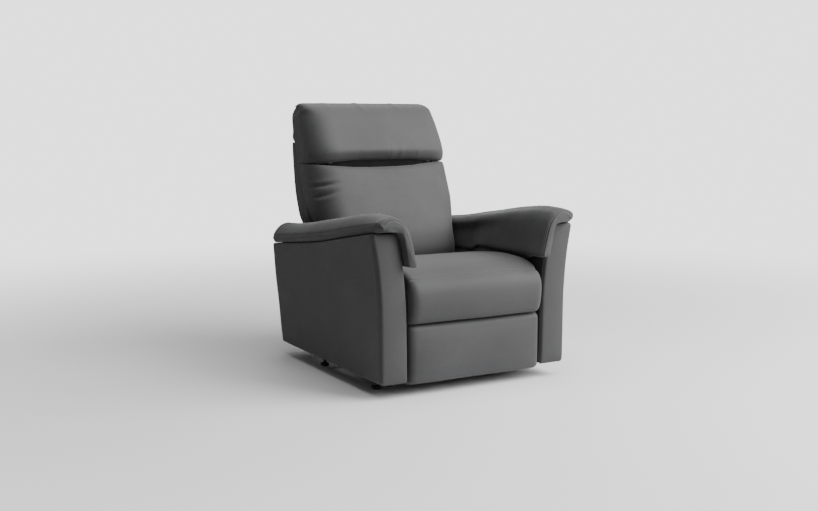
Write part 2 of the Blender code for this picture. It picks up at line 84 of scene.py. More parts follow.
def along(table, at):
    """Reads a table of (position, value) pairs with a smooth monotone curve between them."""
    if at <= table[0][0]:
        return table[0][1]
    if at >= table[-1][0]:
        return table[-1][1]
    for k in range(len(table) - 1):
        if at <= table[k + 1][0]:
            break
    slopes = []
    for j in (k, k + 1):
        if 0 < j < len(table) - 1:
            a = (table[j][1] - table[j - 1][1]) / (table[j][0] - table[j - 1][0])
            b = (table[j + 1][1] - table[j][1]) / (table[j + 1][0] - table[j][0])
            slopes.append(0.0 if a * b <= 0 else 2 * a * b / (a + b))
        else:
            i = min(j, len(table) - 2)
            slopes.append((table[i + 1][1] - table[i][1]) / (table[i + 1][0] - table[i][0]))
    (xa, ya), (xb, yb) = table[k], table[k + 1]
    h = xb - xa
    t = (at - xa) / h
    return (
        ya * (1 + 2 * t) * (1 - t) ** 2
        + slopes[0] * h * t * (1 - t) ** 2
        + yb * t * t * (3 - 2 * t)
        + slopes[1] * h * t * t * (t - 1)
    )


def stations(low, high, count, ends=(), closer=0.0):
    """Positions from low to high, with extra ones close to each of the ends named."""
    out = {round(low + (high - low) * i / count, 6) for i in range(count + 1)}
    for at in ends:
        for off in (-closer, -closer / 2, 0.0, closer / 2, closer):
            if low <= at + off <= high:
                out.add(round(at + off, 6))
    out = sorted(out)
    kept = [out[0]]
    for x in out[1:]:
        if x - kept[-1] > closer * 0.24:
            kept.append(x)
    kept[-1] = out[-1]
    return kept


def wobble(p, scale, seed=0.0):
    """Seeded smooth noise in -1..1."""
    return noise.noise(Vector(p) * scale + Vector((seed, seed * 1.7, -seed)))


def new_object(name, verts, faces):
    mesh = bpy.data.meshes.new(name)
    mesh.from_pydata([tuple(v) for v in verts], [], faces)
    mesh.update()
    obj = bpy.data.objects.new(name, mesh)
    bpy.context.scene.collection.objects.link(obj)
    return obj


def face_out(obj):
    bm = bmesh.new()
    bm.from_mesh(obj.data)
    bmesh.ops.recalc_face_normals(bm, faces=bm.faces[:])
    bm.to_mesh(obj.data)
    bm.free()


def coords(obj):
    co = np.zeros(len(obj.data.vertices) * 3)
    obj.data.vertices.foreach_get("co", co)
    return co.reshape(-1, 3)


def set_coords(obj, co):
    obj.data.vertices.foreach_set("co", np.asarray(co, float).ravel())
    obj.data.update()


def normals(obj):
    out = np.zeros(len(obj.data.vertices) * 3)
    obj.data.vertices.foreach_get("normal", out)
    return out.reshape(-1, 3)


def pillow(name, us, vs, front, rear, bulge=0.004, strips=3):
    """A closed piece: a front and a rear sheet over the same grid, joined round the edge by a rolled strip.
    Returns the object and the vertex numbers of the front sheet, [u][v]."""
    verts = []
    sheet_f = []
    sheet_r = []
    for sheet, place in ((sheet_f, front), (sheet_r, rear)):
        for u in us:
            row = []
            for v in vs:
                row.append(len(verts))
                verts.append(Vector(place(u, v)))
            sheet.append(row)
    faces = []
    nu, nv = len(us), len(vs)
    for i in range(nu - 1):
        for j in range(nv - 1):
            faces.append((sheet_f[i][j], sheet_f[i + 1][j], sheet_f[i + 1][j + 1], sheet_f[i][j + 1]))
            faces.append((sheet_r[i][j], sheet_r[i][j + 1], sheet_r[i + 1][j + 1], sheet_r[i + 1][j]))
    ring = [(i, 0) for i in range(nu)] + [(nu - 1, j) for j in range(1, nv)]
    ring += [(i, nv - 1) for i in range(nu - 2, -1, -1)] + [(0, j) for j in range(nv - 2, 0, -1)]
    columns = []
    for i, j in ring:
        a, b = verts[sheet_f[i][j]], verts[sheet_r[i][j]]
        ii = min(max(i, 1), nu - 2)
        jj = min(max(j, 1), nv - 2)
        out = (a - verts[sheet_f[ii][jj]]) + (b - verts[sheet_r[ii][jj]])
        through = (b - a).normalized() if (b - a).length > 1e-9 else Vector((0, 1, 0))
        out -= through * out.dot(through)
        out = out.normalized() if out.length > 1e-9 else Vector((0, 0, 0))
        column = [sheet_f[i][j]]
        for k in range(1, strips):
            t = k / strips
            column.append(len(verts))
            verts.append(a.lerp(b, t) + out * bulge * sin(pi * t))
        column.append(sheet_r[i][j])
        columns.append(column)
    for k in range(len(ring)):
        p, q = columns[k], columns[(k + 1) % len(ring)]
        for m in range(strips):
            faces.append((p[m], p[m + 1], q[m + 1], q[m]))
    obj = new_object(name, verts, faces)
    face_out(obj)
    return obj, sheet_f


def rim_pins(obj, sheet, rows=(0, -1)):
    """Pins for the cloth: all vertices off the front sheet, and that sheet's own sides and named rows."""
    pins = {g: 1.0 for g in range(len(sheet) * len(sheet[0]), len(obj.data.vertices))}
    for column in sheet:
        for j in rows:
            pins[column[j]] = 1.0
    for column in (sheet[0], sheet[-1]):
        for g in column:
            pins[g] = 1.0
    return pins


def inflate(obj, pinned, pressure=4.0, frames=14, cap=0.012, grow=0.0, stiff=12.0, mass=0.25, rounds=24):
    """Puffs a closed mesh with cloth pressure, holding the pinned vertices. The movement is kept within the
    cap and evened out over neighbouring points."""
    before = coords(obj)
    group = obj.vertex_groups.new(name="pin")
    for index, weight in pinned.items():
        group.add([index], weight, "REPLACE")
    cloth = obj.modifiers.new("cloth", "CLOTH")
    s = cloth.settings
    s.vertex_group_mass = "pin"
    s.quality = 5
    s.mass = mass
    s.use_pressure = True
    s.uniform_pressure_force = pressure
    s.tension_stiffness = stiff
    s.compression_stiffness = stiff
    s.shear_stiffness = stiff * 0.4
    s.bending_stiffness = 0.35
    s.shrink_min = -grow
    s.effector_weights.gravity = 0.0
    cloth.collision_settings.use_collision = False
    scene = bpy.context.scene
    cloth.point_cache.frame_start = 1
    cloth.point_cache.frame_end = frames + 1
    for f in range(1, frames + 1):
        scene.frame_set(f)
    graph = bpy.context.evaluated_depsgraph_get()
    shape = obj.evaluated_get(graph).to_mesh()
    after = np.zeros(len(shape.vertices) * 3)
    shape.vertices.foreach_get("co", after)
    obj.evaluated_get(graph).to_mesh_clear()
    obj.modifiers.remove(cloth)
    obj.vertex_groups.remove(group)
    scene.frame_set(1)
    move = after.reshape(-1, 3) - before
    size = np.linalg.norm(move, axis=1)
    held = cap * np.tanh(size / cap)
    move *= (held / np.maximum(size, 1e-9))[:, None]
    edges = np.zeros(len(obj.data.edges) * 2, int)
    obj.data.edges.foreach_get("vertices", edges)
    edges = edges.reshape(-1, 2)
    count = np.bincount(edges.ravel(), minlength=len(move)).astype(float)
    free = np.ones(len(move))
    for index, weight in pinned.items():
        free[index] = 1 - weight
    for _ in range(rounds):
        total = np.zeros_like(move)
        np.add.at(total, edges[:, 0], move[edges[:, 1]])
        np.add.at(total, edges[:, 1], move[edges[:, 0]])
        move = total / count[:, None] * free[:, None]
    set_coords(obj, before + move)


def subdivide(obj, levels=1):
    step = obj.modifiers.new("sub", "SUBSURF")
    step.levels = levels
    step.render_levels = levels
    step.boundary_smooth = "PRESERVE_CORNERS"
    graph = bpy.context.evaluated_depsgraph_get()
    mesh = bpy.data.meshes.new_from_object(obj.evaluated_get(graph))
    obj.modifiers.clear()
    old = obj.data
    obj.data = mesh
    bpy.data.meshes.remove(old)


def shade(obj, angle=None):
    obj.data.shade_smooth()
    if angle:
        obj.data.set_sharp_from_angle(angle=radians(angle))


def run_lengths(points):
    """The length of a line up to each of its points."""
    lengths = [0.0]
    for a, b in zip(points, points[1:]):
        lengths.append(lengths[-1] + (b - a).length)
    return lengths


def point_at(points, lengths, share):
    """The point at a share of a line's length."""
    at = share * lengths[-1]
    k = max(i for i in range(len(lengths) - 1) if lengths[i] <= at + 1e-9)
    return points[k].lerp(points[k + 1], clamp((at - lengths[k]) / max(lengths[k + 1] - lengths[k], 1e-9)))


def resample(points, step):
    """Even points along a polyline."""
    points = [Vector(p) for p in points]
    lengths = run_lengths(points)
    count = max(2, int(lengths[-1] / step))
    out = []
    k = 0
    for i in range(count + 1):
        at = lengths[-1] * i / count
        while k < len(points) - 2 and lengths[k + 1] < at:
            k += 1
        span = max(lengths[k + 1] - lengths[k], 1e-9)
        out.append(points[k].lerp(points[k + 1], clamp((at - lengths[k]) / span)))
    return out


def smooth_line(points, rounds=3):
    points = [Vector(p) for p in points]
    for _ in range(rounds):
        inner = [(points[i - 1] + 2 * points[i] + points[i + 1]) / 4 for i in range(1, len(points) - 1)]
        points = [points[0], *inner, points[-1]]
    return points


def tube(name, points, radius, sides=8):
    """A round tube with flat ends along a line of points, as a mesh."""
    verts = []
    faces = []
    n = len(points)
    up = Vector((0.13, 0.27, 0.95)).normalized()
    for i, p in enumerate(points):
        a = points[max(i - 1, 0)]
        b = points[min(i + 1, n - 1)]
        t = (b - a).normalized()
        side = up - t * up.dot(t)
        if side.length < 0.1:
            side = Vector((1, 0, 0)) - t * t.x
        side.normalize()
        up = side
        other = t.cross(side)
        for k in range(sides):
            w = 2 * pi * k / sides
            verts.append(p + (side * cos(w) + other * sin(w)) * radius)
    for i in range(n - 1):
        j = i + 1
        for k in range(sides):
            m = (k + 1) % sides
            faces.append((i * sides + k, i * sides + m, j * sides + m, j * sides + k))
    faces.append(tuple(reversed(range(sides))))
    faces.append(tuple((n - 1) * sides + k for k in range(sides)))
    obj = new_object(name, verts, faces)
    face_out(obj)
    shade(obj)
    return obj


def stitch_line(name, points, host, aside=0.0, pitch=0.0062, length=0.0042, radius=0.00055, lift=0.0002):
    """Threads lying on a surface: short rounded dashes along a line, set to one side of it."""
    tree = BVHTree.FromObject(host, bpy.context.evaluated_depsgraph_get())
    points = resample(smooth_line(points, 2), pitch)
    verts = []
    faces = []
    for a, b in zip(points, points[1:]):
        middle = (a + b) / 2
        hit, normal, _, _ = tree.find_nearest(middle)
        if hit is None:
            continue
        t = (b - a).normalized()
        t = (t - normal * t.dot(normal)).normalized()
        across = normal.cross(t)
        centre, normal2, _, _ = tree.find_nearest(hit + across * aside)
        centre = centre + normal2 * lift
        base = len(verts)
        for s, r in ((-0.5, 0.35), (-0.38, 0.9), (0.0, 1.0), (0.38, 0.9), (0.5, 0.35)):
            for k in range(6):
                w = 2 * pi * k / 6
                dip = -abs(s) * radius * 1.2
                around = (across * cos(w) + normal2 * sin(w)) * radius * r
                verts.append(centre + t * length * s + around + normal2 * dip)
        for i in range(4):
            for k in range(6):
                m = (k + 1) % 6
                faces.append((base + i * 6 + k, base + i * 6 + m, base + i * 6 + 6 + m, base + i * 6 + 6 + k))
        faces.append(tuple(base + k for k in reversed(range(6))))
        faces.append(tuple(base + 24 + k for k in range(6)))
    obj = new_object(name, verts, faces)
    face_out(obj)
    shade(obj)
    return obj


# ---------------------------------------------------------------- materials


def socket(shader, name, value):
    if name in shader.inputs:
        shader.inputs[name].default_value = value


def new_material(name):
    """A material with its node tree, its Principled shader and the function that links nodes."""
    mat = bpy.data.materials.new(name)
    mat.use_nodes = True
    tree = mat.node_tree
    return mat, tree, tree.nodes["Principled BSDF"], tree.links.new


def node(tree, kind, x=0, y=0, sockets=None, **values):
    """A node at a place in the tree, with its sockets' values and its own settings."""
    n = tree.nodes.new(kind)
    n.location = (x, y)
    for key, value in values.items():
        setattr(n, key, value)
    for key, value in (sockets or {}).items():
        n.inputs[key].default_value = value
    return n


def ramp(tree, stops, x=0, y=0):
    n = node(tree, "ShaderNodeValToRGB", x, y)
    e = n.color_ramp.elements
    while len(e) < len(stops):
        e.new(0.5)
    for i, (at, c) in enumerate(stops):
        e[i].position = at
        e[i].color = (*c, 1) if len(c) == 3 else c
    return n


def leather(name, dark, light, rough=(0.60, 0.74), grain=720.0, grain_depth=0.00035, crease=0.0006, seed=0.0):
    """Fine pebbled leather: cell grain with painted shade in the pores between the cells, soft mottling and
    fine creases.
    """
    mat, tree, shader, link = new_material(name)
    place = node(tree, "ShaderNodeTexCoord", -1500, 0)
    shift = node(tree, "ShaderNodeMapping", -1300, 0, {"Location": (seed, seed * 0.7, -seed * 0.3)})
    link(place.outputs["Object"], shift.inputs["Vector"])
    cells = node(
        tree, "ShaderNodeTexVoronoi", -1050, 200,
        {"Scale": grain, "Smoothness": 0.35}, feature="SMOOTH_F1",
    )
    broad = node(tree, "ShaderNodeTexNoise", -1050, -50, {"Scale": 5.5, "Detail": 5.0})
    fine = node(tree, "ShaderNodeTexNoise", -1050, -300, {"Scale": 95.0, "Detail": 4.0})
    fold = node(tree, "ShaderNodeTexVoronoi", -1050, -550, {"Scale": 62.0}, feature="DISTANCE_TO_EDGE")
    for n in (cells, broad, fine, fold):
        link(shift.outputs["Vector"], n.inputs["Vector"])
    tone = ramp(tree, [(0.30, dark), (0.72, light)], -800, -50)
    link(broad.outputs["Fac"], tone.inputs["Fac"])
    # Painted shade: the grain's hollows towards the cell edges are darkened to 0.8 of the tone.
    pore_shade = ramp(tree, [(0.10, (1, 1, 1)), (0.75, (0.80, 0.80, 0.80))], -800, 200)
    link(cells.outputs["Distance"], pore_shade.inputs["Fac"])
    speck = ramp(tree, [(0.35, (0.93, 0.93, 0.93)), (0.65, (1.05, 1.05, 1.05))], -800, -300)
    link(fine.outputs["Fac"], speck.inputs["Fac"])
    first = node(tree, "ShaderNodeMix", -520, 100, {"Factor": 1.0}, data_type="RGBA", blend_type="MULTIPLY")
    link(tone.outputs["Color"], first.inputs[6])
    link(pore_shade.outputs["Color"], first.inputs[7])
    second = node(tree, "ShaderNodeMix", -320, 60, {"Factor": 1.0}, data_type="RGBA", blend_type="MULTIPLY")
    link(first.outputs[2], second.inputs[6])
    link(speck.outputs["Color"], second.inputs[7])
    link(second.outputs[2], shader.inputs["Base Color"])
    gloss = node(
        tree, "ShaderNodeMapRange", -520, -250,
        {"From Min": 0.3, "From Max": 0.7, "To Min": rough[0], "To Max": rough[1]},
    )
    link(fine.outputs["Fac"], gloss.inputs["Value"])
    link(gloss.outputs["Result"], shader.inputs["Roughness"])
    small = node(
        tree, "ShaderNodeBump", -300, -450,
        {"Strength": 0.55, "Distance": grain_depth}, invert=True,
    )
    link(cells.outputs["Distance"], small.inputs["Height"])
    lines = ramp(tree, [(0.0, (0, 0, 0)), (0.10, (1, 1, 1))], -800, -550)
    link(fold.outputs["Distance"], lines.inputs["Fac"])
    large = node(tree, "ShaderNodeBump", -100, -450, {"Strength": 0.16, "Distance": crease})
    link(lines.outputs["Color"], large.inputs["Height"])
    link(small.outputs["Normal"], large.inputs["Normal"])
    link(large.outputs["Normal"], shader.inputs["Normal"])
    socket(shader, "Specular IOR Level", 0.26)
    socket(shader, "Sheen Weight", 0.12)
    socket(shader, "Sheen Roughness", 0.45)
    return mat


def painted(name, colour, rough, metallic=0.0, grain=260.0, depth=0.00012, wear=None):
    """Powder coat, plastic, wire, thread, or the near-black painted shade in the crease: fine orange-peel,
    mottled roughness and worn spots.
    """
    mat, tree, shader, link = new_material(name)
    place = node(tree, "ShaderNodeTexCoord", -1100, 0)
    peel = node(tree, "ShaderNodeTexNoise", -850, -200, {"Scale": grain, "Detail": 3.0})
    patch = node(tree, "ShaderNodeTexNoise", -850, 100, {"Scale": 24.0, "Detail": 6.0})
    for n in (peel, patch):
        link(place.outputs["Object"], n.inputs["Vector"])
    top = tuple(min(1.0, c * 1.25 + 0.004) for c in colour)
    tone = ramp(tree, [(0.35, colour), (0.70, wear or top)], -600, 100)
    link(patch.outputs["Fac"], tone.inputs["Fac"])
    link(tone.outputs["Color"], shader.inputs["Base Color"])
    gloss = node(
        tree, "ShaderNodeMapRange", -600, -80,
        {"To Min": max(rough - 0.10, 0.05), "To Max": min(rough + 0.14, 1.0)},
    )
    link(patch.outputs["Fac"], gloss.inputs["Value"])
    link(gloss.outputs["Result"], shader.inputs["Roughness"])
    shader.inputs["Metallic"].default_value = metallic
    height = node(tree, "ShaderNodeBump", -300, -250, {"Strength": 0.35, "Distance": depth})
    link(peel.outputs["Fac"], height.inputs["Height"])
    link(height.outputs["Normal"], shader.inputs["Normal"])
    return mat


def timber(name):
    """Plywood toned dark brown as painted shade, so that its edges seen in the gaps between parts stay dark:
    stretched grain with darker rings and a rough surface.
    """
    mat, tree, shader, link = new_material(name)
    place = node(tree, "ShaderNodeTexCoord", -1300, 0)
    stretch = node(tree, "ShaderNodeMapping", -1100, 0, {"Scale": (6.0, 40.0, 70.0)})
    link(place.outputs["Object"], stretch.inputs["Vector"])
    grain = node(tree, "ShaderNodeTexNoise", -850, 100, {"Scale": 1.6, "Detail": 8.0, "Distortion": 0.6})
    link(stretch.outputs["Vector"], grain.inputs["Vector"])
    # Painted shade: these browns are kept dark so that the plywood's edges in the gaps read as shade.
    browns_as_shade = [(0.32, (0.050, 0.034, 0.022)), (0.50, (0.085, 0.060, 0.040)), (0.72, (0.120, 0.088, 0.058))]
    tone = ramp(tree, browns_as_shade, -600, 100)
    link(grain.outputs["Fac"], tone.inputs["Fac"])
    link(tone.outputs["Color"], shader.inputs["Base Color"])
    shader.inputs["Roughness"].default_value = 0.72
    height = node(tree, "ShaderNodeBump", -300, -250, {"Strength": 0.4, "Distance": 0.0004})
    link(grain.outputs["Fac"], height.inputs["Height"])
    link(height.outputs["Normal"], shader.inputs["Normal"])
    return mat


DARK = (0.0412, 0.0413, 0.0424)
LIGHT = (0.0508, 0.0509, 0.0523)
HIDE = {
    "leather_seat": leather("seat_hide", DARK, LIGHT, seed=0.0),
    "leather_head": leather("head_hide", DARK, LIGHT, seed=3.1),
    "leather_pad": leather("pad_hide", DARK, LIGHT, seed=5.7),
    "leather_arm": leather("arm_hide", DARK, LIGHT, rough=(0.62, 0.76), seed=8.3),
    "leather_back": leather("back_hide", DARK, LIGHT, rough=(0.62, 0.76), seed=11.9),
    "leather_foot": leather("foot_hide", DARK, LIGHT, seed=14.2),
}
THREAD = painted("thread", (0.060, 0.060, 0.062), 0.75, grain=1900.0, depth=0.0002)
STEEL = painted("black_powder_coat", (0.014, 0.014, 0.015), 0.42, 0.35, wear=(0.028, 0.028, 0.029))
WIRE = painted("spring_wire", (0.30, 0.30, 0.31), 0.32, 0.95, grain=420.0)
# Near black with little shine: painted shade on the strip that closes the crease under the headrest, where
# the crease holds only shade.
CREASE_SHADE = painted("crease_shade_black", (0.006, 0.006, 0.006), 0.85, 0.0, grain=1500.0)
socket(CREASE_SHADE.node_tree.nodes["Principled BSDF"], "Specular IOR Level", 0.05)
MOULDED = painted("black_plastic", (0.012, 0.012, 0.013), 0.50, 0.0, grain=520.0)
NYLON = painted("natural_nylon", (0.62, 0.61, 0.57), 0.45, 0.0, grain=360.0)
PLY = timber("birch_ply")
CAD_LOOKS = {
    "plywood": PLY,
    "steel_black": STEEL,
    "steel_bright": WIRE,
    "plastic_black": MOULDED,
    "plastic_white": NYLON,
}


def dress_cad():
    """Gives each carried-over CAD piece its finished material."""
    slot_of = {s["node"]: s["material_slot"] for s in frame["record"]["subparts"]}
    for name, obj in NODES.items():
        look = CAD_LOOKS.get(slot_of[name]) or HIDE[slot_of[name]]
        if not obj.material_slots:
            obj.data.materials.append(look)
        for s in obj.material_slots:
            s.material = look


def dress(obj, slot, body, look=None):
    """Finishes a new piece: the material of its record slot, or the look given, and the body it rides on."""
    obj.data.materials.clear()
    obj.data.materials.append(look or HIDE[slot])
    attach(obj, body)
    return obj


# ---------------------------------------------------------------- arms

ARM_FRONT = -0.465
ARM_REAR = 0.415
ARM_LOW = 0.052
ARM_WIDTH = 0.104
ARM_INNER = 0.286
ARM_TOP = [(-0.50, 0.588), (-0.275, 0.552), (-0.024, 0.512), (0.42, 0.463)]
FLARE_FRONT = [(0, 0.390), (0.47, 0.391), (0.66, 0.397), (0.80, 0.405), (0.90, 0.414), (1, 0.424)]
FLARE_REAR = [(0, 0.382), (0.16, 0.390), (0.42, 0.399), (0.71, 0.411), (0.96, 0.418), (1, 0.419)]


def arm_top(y):
    return along(ARM_TOP, y)


def arm_outer(y, share):
    back = clamp((y - ARM_FRONT) / (ARM_REAR - ARM_FRONT))
    return mix(along(FLARE_FRONT, share), along(FLARE_REAR, share), back)


def arm_inner(y, share):
    return max(ARM_INNER, arm_outer(y, share) - ARM_WIDTH + 0.006 * share)


def corner(d, r):
    """How far a rounded corner stands back at a distance from its edge."""
    d = clamp(d, 0.0, r)
    return r - sqrt(max(r * r - (r - d) ** 2, 0.0))


def arm_side(tag, side):
    """The arm's body behind its front panel: outer side, inner side and rear in one upholstered form."""
    y0 = ARM_FRONT + 0.0175
    y1 = ARM_REAR

    def height(y, v):
        low = ARM_LOW + 0.004 * ((y + 0.025) / 0.44) ** 2
        return mix(low, arm_top(y) - 0.0008, v)

    def pull(y, z, v):
        top = arm_top(y) - 0.0008
        inset = corner(z - ARM_LOW, 0.010) + corner(top - z, 0.005)
        return inset + corner(y1 - y, 0.020) + 0.6 * corner(y - y0, 0.005)

    def outer(u, v):
        z = height(u, v)
        swell = 0.0025 * sin(pi * v) * ease((u - y0) / 0.2) * ease((y1 - u) / 0.2)
        x = arm_outer(u, v) - pull(u, z, v) + swell + 0.0008 * wobble((side * 0.4, u, z), 5.0, 2.0)
        return (side * x, u, z)

    def inner(u, v):
        z = height(u, v)
        x = arm_inner(u, v) + 0.5 * pull(u, z, v)
        return (side * x, u, z)

    us = stations(y0, y1, 70, (y0, y1), 0.006)
    vs = stations(0.0, 1.0, 46, (0.0, 1.0), 0.010)
    obj, _ = pillow("arm_body_" + tag, us, vs, outer, inner, 0.0, 6)
    shade(obj, 50)
    hidden = ("arm_board_", "arm_outer_cover_", "arm_inner_cover_", "arm_rear_cover_")
    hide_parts(*[n + tag for n in hidden])
    return dress(obj, "leather_arm", "base")


def arm_front(tag, side):
    """The sabre-shaped front panel, softly padded, with its edges rolled."""
    y = ARM_FRONT
    top = arm_top(y) - 0.002

    def point(u, v, depth):
        """u runs from the inner to the outer edge and v from the bottom to the top."""
        z = mix(ARM_LOW + 0.001, top, v)
        left = arm_inner(y, v)
        right = arm_outer(y, v)
        inset_in = corner(top - z, 0.024) + corner(z - ARM_LOW, 0.012)
        inset_out = corner(top - z, 0.016) + corner(z - ARM_LOW, 0.016)
        x = mix(left + inset_in, right - inset_out, u)
        edge = min(u * ARM_WIDTH, (1 - u) * ARM_WIDTH, v * 0.53, (1 - v) * 0.53)
        roll = corner(edge, 0.009)
        crown = 0.0045 * sin(pi * clamp(u)) ** 0.8 * ease(v / 0.06) * ease((1 - v) / 0.05)
        forward = y + 0.002 - crown + roll * 0.9 + 0.0006 * wobble((x * side, 0, z), 9.0, 4.0)
        if depth:
            forward = y + 0.0170
        return (side * x, forward, z)

    us = stations(0.0, 1.0, 22, (0.0, 1.0), 0.06)
    vs = stations(0.0, 1.0, 80, (0.0, 1.0), 0.012)
    front, rear = (lambda u, v: point(u, v, 0)), (lambda u, v: point(u, v, 1))
    obj, _ = pillow("arm_front_" + tag, us, vs, front, rear, 0.001, 3)
    shade(obj, 60)
    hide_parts("arm_front_cover_" + tag)
    dress(obj, "leather_arm", "base")
    rim = []
    for v in vs:
        p = Vector(point(1.0, v, 1))
        rim.append(p + Vector((side * 0.0005, -0.003, 0)))
    for u in reversed(us[:-1]):
        p = Vector(point(u, 1.0, 1))
        rim.append(p + Vector((0, -0.003, 0.0)))
    for v in reversed(vs[:-1]):
        p = Vector(point(0.0, v, 1))
        rim.append(p + Vector((-side * 0.0005, -0.003, 0)))
    welt = tube("arm_front_welt_" + tag, resample(smooth_line(rim, 2), 0.006), 0.0021, 8)
    dress(welt, "leather_arm", "base")
    return obj


PAD_FRONT = -0.495
PAD_RIDGE = [(-0.50, 0.630), (-0.45, 0.639), (-0.405, 0.640), (-0.269, 0.629), (-0.115, 0.606), (0.04, 0.583),
             (0.151, 0.566), (0.30, 0.551), (0.42, 0.544)]
PAD_TIP = [(-0.50, 0.459), (-0.15, 0.457), (-0.02, 0.452), (0.05, 0.430), (0.42, 0.430)]
PAD_INNER = [(-0.50, 0.262), (-0.25, 0.266), (-0.10, 0.280), (0.04, 0.303), (0.12, 0.306), (0.42, 0.306)]
# Distances of the sections that round the pad's front and rear ends
PAD_FRONT_STEPS = (0.0005, 0.0015, 0.003, 0.005, 0.008, 0.012, 0.016, 0.021, 0.027, 0.033, 0.038, 0.043)
PAD_REAR_STEPS = (0.0006, 0.002, 0.005, 0.009, 0.015, 0.022)
# Steps of the smooth outline for each of the section's points, and where the boxing's edge and the tip lie
PAD_STEPS = 4
PAD_EDGE = PAD_STEPS * 3
PAD_FLAP = PAD_STEPS * 15


def spline(points, per):
    """A Catmull-Rom line through 2-D points, with a number of steps for each stretch."""
    out = []
    for i in range(len(points) - 1):
        a = Vector(points[max(i - 1, 0)])
        b = Vector(points[i])
        c = Vector(points[i + 1])
        d = Vector(points[min(i + 2, len(points) - 1)])
        for k in range(per):
            t = k / per
            square = (2 * a - 5 * b + 4 * c - d) * t * t
            out.append(0.5 * (2 * b + (c - a) * t + square + (3 * b - a - 3 * c + d) * t ** 3))
    out.append(Vector(points[-1]))
    return out


def pad_section(y):
    """The pad's cross-section: its outside from the outer lower edge to the tip, and its underside back.
    Each point carries how much of the end rounding it takes."""
    low = arm_top(y) + 0.0008
    ridge = along(PAD_RIDGE, y)
    tip = along(PAD_TIP, y)
    inner = along(PAD_INNER, y)
    rear = ease((y - PAD_FRONT) / 0.6)
    outer = arm_outer(y, 1.0) + mix(-0.0060, 0.0050, rear)
    drape = clamp((low - max(tip, 0.452)) / 0.12)
    front = 1 - ease((y - PAD_FRONT - 0.02) / 0.10)
    corner_z = low + mix(0.026, 0.029, drape)
    height = ridge - tip
    outside = [
        (outer - 0.0130, low, 0.3),
        (outer - 0.0065, low + 0.0045, 0.6),
        (outer - 0.0005, low + 0.60 * (corner_z - low), 0.9),
        (outer - 0.0010, corner_z, 1.0),
        (outer - 0.0085, mix(corner_z, ridge, 0.30), 1.0),
        (outer - 0.0270, mix(corner_z, ridge, 0.68), 1.0),
        (outer - 0.0480, mix(corner_z, ridge, 0.92), 1.0),
        (0.3540, ridge, 1.0),
        (0.3360, ridge - 0.006, 1.0),
        (mix(inner + 0.016, 0.316, drape), ridge - 0.105 * height, 1.0),
        (mix(inner + 0.006, 0.2985, drape), ridge - 0.243 * height, 0.85),
        (inner + mix(0.002, 0.0230, drape), ridge - 0.442 * height, 0.7),
        (inner + mix(0.000, 0.0125, drape), ridge - 0.700 * height, 0.6),
        (inner + mix(0.001, 0.0030, drape), ridge - 0.900 * height, 0.6),
        (inner + 0.0040, ridge - 0.978 * height, 0.6),
        (inner + 0.0095, tip, 0.6),
    ]
    skirt = 0.036 * ease((y + 0.43) / 0.12) * (1 - ease((y + 0.01) / 0.07))
    foot = mix(inner + 0.012, max(0.2872, inner + 0.008), ease(skirt / 0.02))
    hem = tip - skirt
    wall = [(foot, tip - skirt * 0.5, 0.3), (foot + 0.0006, hem, 0.3), (foot + 0.007, hem, 0.3)]
    for share in (0.03, 0.25, 0.5, 0.75):
        z = tip + share * (low - tip)
        s = clamp((z - ARM_LOW) / (arm_top(y) - ARM_LOW))
        wall.append((arm_inner(y, s) - mix(0.0022, 0.0045, front), z, 0.1))
    wall.append((arm_inner(y, 0.985) + 0.0030, low - 0.006, 0.1))
    wall.append((arm_inner(y, 1.0) + 0.020, low, 0.0))
    return outside, wall


